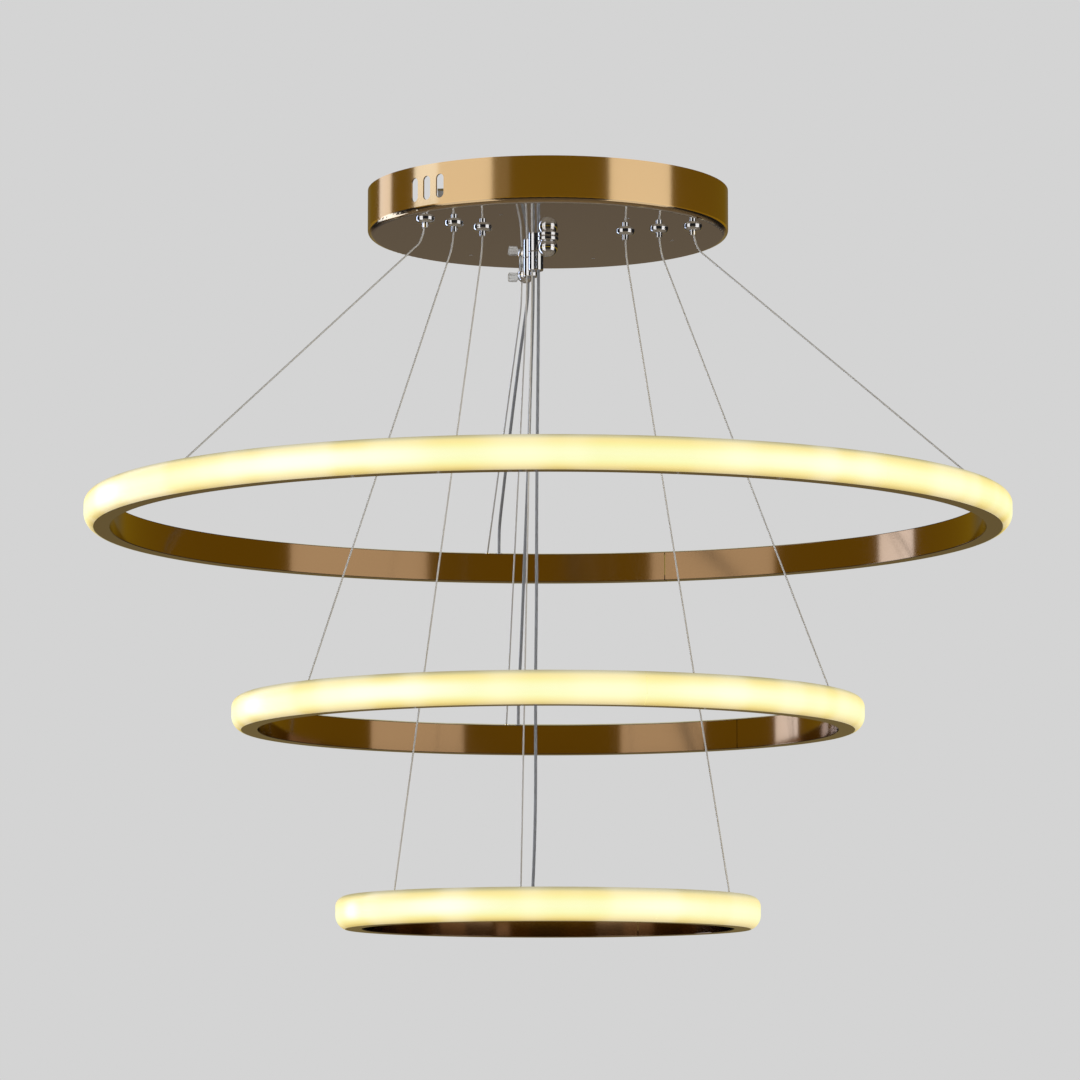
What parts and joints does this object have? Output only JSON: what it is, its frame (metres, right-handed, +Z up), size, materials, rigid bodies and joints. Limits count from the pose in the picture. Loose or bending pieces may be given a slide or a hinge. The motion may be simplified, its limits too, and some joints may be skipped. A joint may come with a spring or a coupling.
{
  "type": "led ring chandelier",
  "caption": "Ceiling chandelier of glowing rings, each smaller than the one above, hung level on thin steel wires from a round canopy.",
  "frame": {"origin": "on the ceiling plane, at the centre of the ceiling bracket and of the canopy", "axes": "+Z up, out of the ceiling mount; +X to the right along the bracket; +Y away from a viewer in front"},
  "size_m": [0.7999, 0.7999, 0.642],
  "materials": {
    "gold_metal": "glossy gold lacquer over spun steel, mirror-like",
    "gold_profile": "glossy gold lacquer over bent aluminium channel, mirror-like",
    "diffuser": "milky translucent plastic, lit from inside with a warm white light",
    "led_strip": "white flexible circuit with small yellow diodes",
    "bare_aluminium": "mill finish",
    "chrome": "polished chrome plate",
    "clear_plastic": "clear moulded plastic",
    "steel_wire": "fine stranded stainless steel",
    "clear_lead": "clear sheath over two silvery stranded cores",
    "white_plastic": "fine moulded grain",
    "zinc_steel": "bright zinc plate",
    "terminal_plastic": "natural moulded nylon"
  },
  "bodies": {
    "canopy": {"canopy_shell": "gold_metal", "ceiling_bracket": "zinc_steel", "centre_stud": "zinc_steel", "bracket_nuts": "zinc_steel", "centre_washer": "chrome", "ball_nut": "chrome", "driver_screws": "zinc_steel", "terminal_block": "terminal_plastic", "shank_nuts": "zinc_steel", "cord_grip_medium": "chrome", "cord_grip_small": "chrome", "clamp_collar": "clear_plastic", "clamp_ball_nut": "chrome", "clamp_screw": "clear_plastic", "driver_large": "white_plastic", "driver_medium": "white_plastic", "driver_small": "white_plastic", "grippers_large": "chrome", "grippers_medium": "chrome", "grippers_small": "chrome"},
    "large_ring": {"ring_channel_large": "gold_profile", "ring_diffuser_large": "diffuser", "led_strip_large": "led_strip", "splice_plate_large": "bare_aluminium", "wire_anchors_large": "chrome", "lead_grommet_large": "clear_plastic", "wires_large": "steel_wire", "power_lead_large": "clear_lead"},
    "medium_ring": {"ring_channel_medium": "gold_profile", "ring_diffuser_medium": "diffuser", "led_strip_medium": "led_strip", "splice_plate_medium": "bare_aluminium", "wire_anchors_medium": "chrome", "lead_grommet_medium": "clear_plastic", "wires_medium": "steel_wire", "power_lead_medium": "clear_lead"},
    "small_ring": {"ring_channel_small": "gold_profile", "ring_diffuser_small": "diffuser", "led_strip_small": "led_strip", "splice_plate_small": "bare_aluminium", "wire_anchors_small": "chrome", "lead_grommet_small": "clear_plastic", "wires_small": "steel_wire", "power_lead_small": "clear_lead"},
    "nozzle_large_left": {"release_nozzle_large_left": "chrome"},
    "nozzle_large_right": {"release_nozzle_large_right": "chrome"},
    "nozzle_medium_left": {"release_nozzle_medium_left": "chrome"},
    "nozzle_medium_right": {"release_nozzle_medium_right": "chrome"},
    "nozzle_small_left": {"release_nozzle_small_left": "chrome"},
    "nozzle_small_right": {"release_nozzle_small_right": "chrome"}
  },
  "joints": [
    {"name": "large_ring_height", "type": "slide", "parent": "canopy", "child": "large_ring", "axis": [0, 0, 1], "range_m": [-0.3, 0.12], "deforming": ["wires_large", "power_lead_large"]},
    {"name": "medium_ring_height", "type": "slide", "parent": "canopy", "child": "medium_ring", "axis": [0, 0, 1], "range_m": [-0.3, 0.12], "deforming": ["wires_medium", "power_lead_medium"]},
    {"name": "small_ring_height", "type": "slide", "parent": "canopy", "child": "small_ring", "axis": [0, 0, 1], "range_m": [-0.3, 0.12], "deforming": ["wires_small", "power_lead_small"]},
    {"name": "nozzle_large_left_press", "type": "slide", "parent": "canopy", "child": "nozzle_large_left", "axis": [0, 0, 1], "range_m": [0, 0.002], "stiffness_N_per_m": 400},
    {"name": "nozzle_large_right_press", "type": "slide", "parent": "canopy", "child": "nozzle_large_right", "axis": [0, 0, 1], "range_m": [0, 0.002], "stiffness_N_per_m": 400},
    {"name": "nozzle_medium_left_press", "type": "slide", "parent": "canopy", "child": "nozzle_medium_left", "axis": [0, 0, 1], "range_m": [0, 0.002], "stiffness_N_per_m": 400},
    {"name": "nozzle_medium_right_press", "type": "slide", "parent": "canopy", "child": "nozzle_medium_right", "axis": [0, 0, 1], "range_m": [0, 0.002], "stiffness_N_per_m": 400},
    {"name": "nozzle_small_left_press", "type": "slide", "parent": "canopy", "child": "nozzle_small_left", "axis": [0, 0, 1], "range_m": [0, 0.002], "stiffness_N_per_m": 400},
    {"name": "nozzle_small_right_press", "type": "slide", "parent": "canopy", "child": "nozzle_small_right", "axis": [0, 0, 1], "range_m": [0, 0.002], "stiffness_N_per_m": 400}
  ]
}
